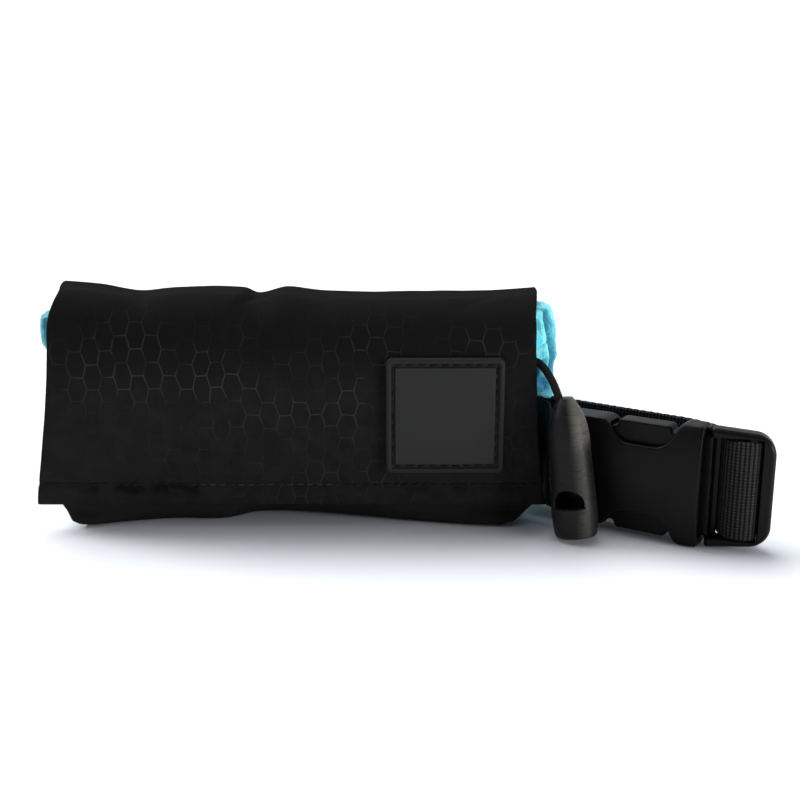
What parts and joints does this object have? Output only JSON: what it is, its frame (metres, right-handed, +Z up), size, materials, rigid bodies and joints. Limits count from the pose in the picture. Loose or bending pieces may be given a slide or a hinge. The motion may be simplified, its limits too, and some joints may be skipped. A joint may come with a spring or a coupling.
{
  "type": "inflatable belt pack",
  "caption": "Soft flap-over pouch for a folded inflatable float, with pleated blue gussets, a blank rubber patch, a whistle on a trigger cord and a webbing belt with a side-release buckle.",
  "frame": {"origin": "middle of the pouch's base, on the surface that the pack rests on", "axes": "+Z up; the flap's front with the patch faces -Y and the waist loop is behind it at +Y; +X is to the right of a viewer in front, on the side of the cord, whistle and buckle"},
  "size_m": [0.2462, 0.2845, 0.0731],
  "materials": {
    "cloth_black": "coated woven cloth, embossed, matte",
    "cloth_blue": "thin woven cloth, slightly glossy",
    "webbing": "ribbed woven webbing, matte",
    "rubber": "moulded, matte",
    "plastic": "moulded, satin",
    "braid": "braided, matte"
  },
  "bodies": {
    "root": {"flap": "cloth_black", "pouch_body": "cloth_black", "gusset_left": "cloth_blue", "gusset_right": "cloth_blue", "patch": "rubber", "belt_sleeve": "cloth_black", "belt": "webbing", "buckle_socket": "plastic", "buckle_plug": "plastic", "trigger_cord": "braid", "whistle": "plastic"}
  },
  "joints": []
}
